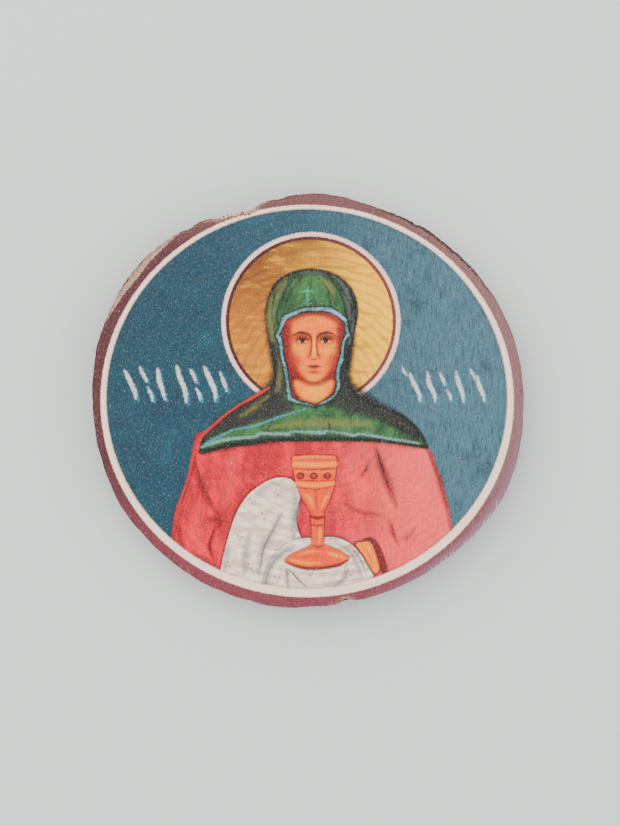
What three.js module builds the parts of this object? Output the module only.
// An icon painted on a cross-cut slice of a branch, lying on its back with the picture up.
// Millimetres, +Z up. X runs across the picture and Y up it. The origin is on the plane of the
// sawn back, under the middle of the slice's bounding box.

import * as THREE from "three";

// Driving dimensions
const SLICE_WIDTH = 102.9; // the plain oval of the branch, along X
const SLICE_HEIGHT = 99; // the same oval along Y
const SLICE_THICKNESS = 10; // from the sawn back to the painted face
const ARRIS_WEAR = 0.2; // how far the two sawn edges are rubbed back
const ARRIS_DEPTH = 0.4; // how far down the flank that wear reaches
const RIDGE_RELIEF = 0.09; // half the depth of the furrows between the bark's ridges
const RIDGE_PITCH = 7.5; // from one bark ridge to the next, round the flank
const FACET_LENGTH = 1.35; // chord of one facet round the flank
const FLANK_BANDS = 6; // rows of facets between the two worn edges

// Where the branch stands outside its oval, or falls inside it. Angles are in degrees from +X,
// anticlockwise, and reach is in millimetres.
const RIM_SWELLS = [
  { at: 15, spread: 22, reach: 0.5 },
  { at: 70, spread: 9, reach: -0.5 },
  { at: 84, spread: 9, reach: 0.3 },
  { at: 109, spread: 9, reach: -1.6 },
  { at: 136, spread: 17, reach: 0.7 },
  { at: 161, spread: 13, reach: 0.8 },
  { at: 210, spread: 9, reach: 0.4 },
  { at: 243, spread: 17, reach: 0.4 },
  { at: 284, spread: 9, reach: -0.2 },
  { at: 335, spread: 18, reach: 1.3 },
];

// Knuckles of the branch that stand out under the painted face, where the cut ran aslant.
const LOW_SWELLS = [
  { at: 143, spread: 13, reach: 1 },
  { at: 261, spread: 7, reach: 0.7 },
];
const LOW_SWELL_DEPTH = 2; // how far below the face they reach their full width

// Places where the bark broke away from the painted edge. Width runs along the rim, inset is
// how far the break cuts in, and drop is how far down the flank it fades out.
const EDGE_BREAKS = [
  { at: 281, width: 2.6, inset: 1.2, drop: 4.5 },
  { at: 97.5, width: 2.4, inset: 0.6, drop: 3.5 },
  { at: 106, width: 3.6, inset: 0.5, drop: 5 },
  { at: 116, width: 3, inset: 0.4, drop: 4 },
  { at: 124.5, width: 2.2, inset: 0.8, drop: 3 },
  { at: 47, width: 2, inset: 0.4, drop: 2.5 },
];

const FULL_TURN = 2 * Math.PI;
const MEAN_DIAMETER = (SLICE_WIDTH + SLICE_HEIGHT) / 2;
const FACETS_ROUND = Math.round((Math.PI * MEAN_DIAMETER) / FACET_LENGTH);
const RIDGE_COUNT = Math.round((Math.PI * MEAN_DIAMETER) / RIDGE_PITCH);

// The difference between two directions in degrees, brought into -180 to 180.
function turnBetween(degrees, from) {
  return THREE.MathUtils.euclideanModulo(degrees - from + 180, 360) - 180;
}

// A smooth hump, 1 in its middle and nearly 0 at twice its spread.
function hump(distance, spread) {
  return Math.exp(-((distance / spread) ** 2));
}

function ovalRadius(angle) {
  return 1 / Math.hypot(Math.cos(angle) / (SLICE_WIDTH / 2), Math.sin(angle) / (SLICE_HEIGHT / 2));
}

function swellReach(swells, degrees) {
  return swells.reduce((sum, s) => sum + s.reach * hump(turnBetween(degrees, s.at), s.spread), 0);
}

// Low ridges that run up the flank, spaced unevenly and wandering a little as they climb.
function ridgeReach(angle, height) {
  const climb = height / SLICE_THICKNESS;
  const wander = 0.35 * Math.sin(3 * angle + 2 * climb);
  const main = Math.sin(RIDGE_COUNT * angle + wander * 4);
  const second = Math.sin(Math.round(RIDGE_COUNT * 0.61) * angle - wander * 5 + climb);
  return RIDGE_RELIEF * (0.65 * main + 0.35 * second);
}

function breakInset(degrees, depth) {
  return EDGE_BREAKS.reduce((sum, b) => {
    const along = (turnBetween(degrees, b.at) / 360) * Math.PI * MEAN_DIAMETER;
    const fade = THREE.MathUtils.clamp(1 - depth / b.drop, 0, 1);
    return sum + b.inset * hump(along, b.width / 2) * fade;
  }, 0);
}

// How far the slice reaches from its middle, at an angle and a height above the back.
function flankRadius(angle, height) {
  const degrees = THREE.MathUtils.radToDeg(angle);
  const depth = SLICE_THICKNESS - height;
  const toEdge = Math.min(height, depth);
  const wear = ARRIS_WEAR * (1 - THREE.MathUtils.smoothstep(toEdge, 0, ARRIS_DEPTH));
  const low = THREE.MathUtils.smoothstep(depth, 0, LOW_SWELL_DEPTH);
  return (
    ovalRadius(angle) +
    swellReach(RIM_SWELLS, degrees) +
    low * swellReach(LOW_SWELLS, degrees) +
    ridgeReach(angle, height) -
    breakInset(degrees, depth) -
    wear
  );
}

// The heights of the rows of points up the flank: both sawn edges, and even bands between them.
function flankHeights() {
  const inner = SLICE_THICKNESS - 2 * ARRIS_DEPTH;
  const rows = [0];
  for (let i = 0; i <= FLANK_BANDS; i++) rows.push(ARRIS_DEPTH + (inner * i) / FLANK_BANDS);
  rows.push(SLICE_THICKNESS);
  return rows;
}

// A plain cylinder whose rows are moved to those heights and pushed out to the branch's shape.
function sliceGeometry() {
  const heights = flankHeights();
  const bands = heights.length - 1;
  const geometry = new THREE.CylinderGeometry(1, 1, bands, FACETS_ROUND, bands);
  geometry.rotateX(Math.PI / 2);
  const position = geometry.getAttribute("position");
  for (let i = 0; i < position.count; i++) {
    const x = position.getX(i);
    const y = position.getY(i);
    const height = heights[Math.round(position.getZ(i) + bands / 2)];
    const onAxis = Math.hypot(x, y) < 0.5;
    const angle = THREE.MathUtils.euclideanModulo(Math.atan2(y, x), FULL_TURN);
    const radius = onAxis ? 0 : flankRadius(angle, height);
    position.setXYZ(i, radius * Math.cos(angle), radius * Math.sin(angle), height);
  }
  geometry.computeBoundingBox();
  const middle = geometry.boundingBox.getCenter(new THREE.Vector3());
  geometry.translate(-middle.x, -middle.y, 0);
  geometry.computeVertexNormals();
  return geometry;
}

function woodSlice() {
  const wood = new THREE.MeshStandardMaterial({
    color: new THREE.Color(0.62, 0.42, 0.29),
    roughness: 0.6,
    metalness: 0,
  });
  const slice = new THREE.Mesh(sliceGeometry(), wood);
  slice.name = "wood_slice";
  return slice;
}

const icon = new THREE.Group();
icon.add(woodSlice());

export default icon;
